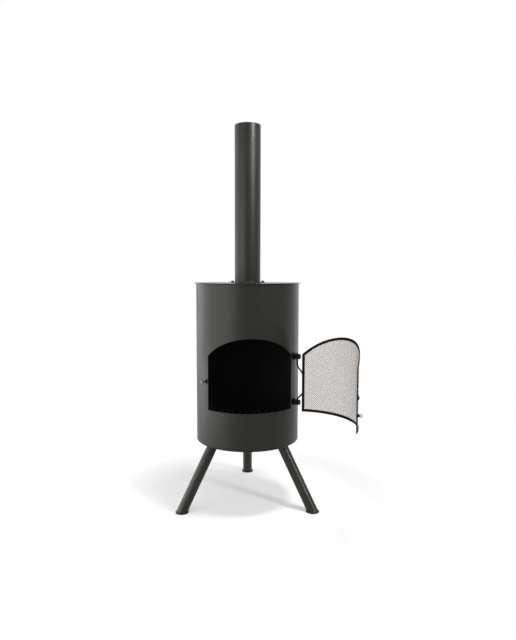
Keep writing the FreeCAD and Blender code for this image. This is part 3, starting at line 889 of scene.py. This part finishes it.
def burnt_iron():
    """Scaled, burnt iron with a trace of rust and ash."""
    material, tree, shader = surface("burnt_iron", {"Specular IOR Level": 0.3})
    at = place(tree)
    crust = noise(tree, at, scale=320.0, detail=6.0)
    ash = step(tree, noise(tree, at, scale=60.0, detail=6.0), start=0.58, end=0.75, high=0.6)
    colour = blend(tree, step(tree, crust, start=0.40, end=0.68), SOOT_DEEP, SCALE_BROWN)
    colour = blend(tree, ash, colour, ASH_GREY)
    rough = step(tree, crust, start=0.3, end=0.7, low=0.95, high=0.70)
    normal = relief(tree, crust, strength=0.5, depth=0.0008, edge=0.0008)
    joined(tree, shader, {"Base Color": colour, "Roughness": rough, "Normal": normal})
    return material


grate_iron = burnt_iron()
dress(grate_iron, "grate_ring", "grate_bars", "grate_feet")

# Studio
# A pale floor, soft lamps and a white surround; none of it belongs to the fireplace.
# The camera stands where the picture was taken, a little left of the doorway and 0.9 m up.
CAMERA_PLACE = (-0.1455, -2.1067, 0.8979)
CAMERA_HEADING = 5.063
CAMERA_DIP = 4.934
CAMERA_ROLL = 0.141
CAMERA_LENS = 30.33
SENSOR_WIDTH = 36.0
camera_data = bpy.data.cameras.new("camera")
camera_data.lens = CAMERA_LENS
camera_data.sensor_width = SENSOR_WIDTH
camera_data.sensor_fit = "AUTO"
camera = bpy.data.objects.new("camera", camera_data)
turn = Matrix.Rotation(math.radians(-CAMERA_HEADING), 4, "Z")
tilt = Matrix.Rotation(math.radians(90 - CAMERA_DIP), 4, "X")
roll = Matrix.Rotation(math.radians(CAMERA_ROLL), 4, "Z")
camera.matrix_world = Matrix.Translation(CAMERA_PLACE) @ turn @ tilt @ roll
bpy.context.scene.collection.objects.link(camera)
bpy.context.scene.camera = camera
bpy.context.scene.view_settings.view_transform = "Standard"

FLOOR_GREY = (0.60, 0.60, 0.60, 1)
FLOOR_RADIUS = 14.0
FLOOR_SIDES = 64
FLOOR_LIFT = 0.31
WHITE_FROM = 0.35
WHITE_BY = 0.85
SURROUND_LIGHT = 0.35


def seen_white(tree):
    """One where the camera or a reflection looks straight at a surface, and zero for lighting."""
    path = add(tree, "ShaderNodeLightPath").outputs
    looked_at = maths(tree, "MAXIMUM", path["Is Camera Ray"], path["Is Glossy Ray"])
    return maths(tree, "MAXIMUM", looked_at, path["Is Transmission Ray"])


floor_mesh = bpy.data.meshes.new("studio_floor")
rim = [(x, y, 0) for x, y in disc(FLOOR_RADIUS, FLOOR_RADIUS, FLOOR_SIDES)]
floor_mesh.from_pydata(rim, [], [tuple(range(FLOOR_SIDES))])
floor = bpy.data.objects.new("studio_floor", floor_mesh)
bpy.context.scene.collection.objects.link(floor)
matt_grey = {"Specular IOR Level": 0.0, "Roughness": 1.0, "Base Color": FLOOR_GREY}
floor_paint, tree, shader = surface("floor_paint", matt_grey)
away = add(tree, "ShaderNodeVectorMath", {0: place(tree)}, operation="LENGTH").outputs["Value"]
far = step(tree, away, start=WHITE_FROM, end=WHITE_BY)
glow = step(tree, far, start=0.0, end=1.0, low=FLOOR_LIFT)
white = add(tree, "ShaderNodeEmission", {"Strength": maths(tree, "MULTIPLY", glow, seen_white(tree))})
near = add(tree, "ShaderNodeMixShader", {0: far, 1: shader.outputs[0]})
lit = add(tree, "ShaderNodeAddShader", {0: near.outputs[0], 1: white.outputs[0]})
tree.links.new(lit.outputs[0], tree.nodes["Material Output"].inputs["Surface"])
floor_mesh.materials.append(floor_paint)

world = bpy.data.worlds.new("white_surround")
bpy.context.scene.world = world
world.use_nodes = True
sky = world.node_tree
backdrop = sky.nodes["Background"]
backdrop.inputs["Color"].default_value = (1, 1, 1, 1)
brightness = step(sky, seen_white(sky), start=0.0, end=1.0, low=SURROUND_LIGHT)
sky.links.new(brightness, backdrop.inputs["Strength"])


def softbox(name, at, aim, size, watts, spread=180.0):
    """A rectangular lamp that faces a point; a grid on its front narrows its spread."""
    lamp = bpy.data.lights.new(name, "AREA")
    lamp.shape = "RECTANGLE"
    lamp.size, lamp.size_y = size
    lamp.energy = watts
    lamp.spread = math.radians(spread)
    made = bpy.data.objects.new(name, lamp)
    facing = (Vector(aim) - Vector(at)).to_track_quat("-Z", "Y")
    made.matrix_world = Matrix.Translation(at) @ facing.to_matrix().to_4x4()
    bpy.context.scene.collection.objects.link(made)


softbox("left_front_softbox", at=(-2.13, -1.49, 1.0), aim=(0, 0, 0.95), size=(2.4, 1.8), watts=41)
softbox("left_rear_softbox", at=(-2.4, 0.9, 0.6), aim=(0, 0, 0.6), size=(2.8, 1.0), watts=20)
softbox("left_rear_top_softbox", at=(-2.4, 0.9, 1.7), aim=(0, 0, 1.2), size=(2.8, 1.2), watts=14.8)
softbox("right_rear_panel", at=(1.63, 1.47, 0.55), aim=(0, 0, 0.5), size=(1.4, 1.0), watts=2.3)
softbox("right_lamp", at=(1.75, -1.75, 2.3), aim=(0, 0, 1.40), size=(0.5, 0.5), watts=6.5, spread=50.0)
softbox("top_softbox", at=(0.48, -0.30, 3.2), aim=(0, 0, 0), size=(0.6, 0.6), watts=66)
softbox("left_low_strip", at=(-1.05, -0.1, 0.2), aim=(0, 0, 0.35), size=(1.6, 0.34), watts=3.8)
softbox("leg_lamp", at=(1.75, -1.65, 1.05), aim=(0.2, -0.13, 0.08), size=(0.25, 0.25), watts=0.8,
        spread=30.0)
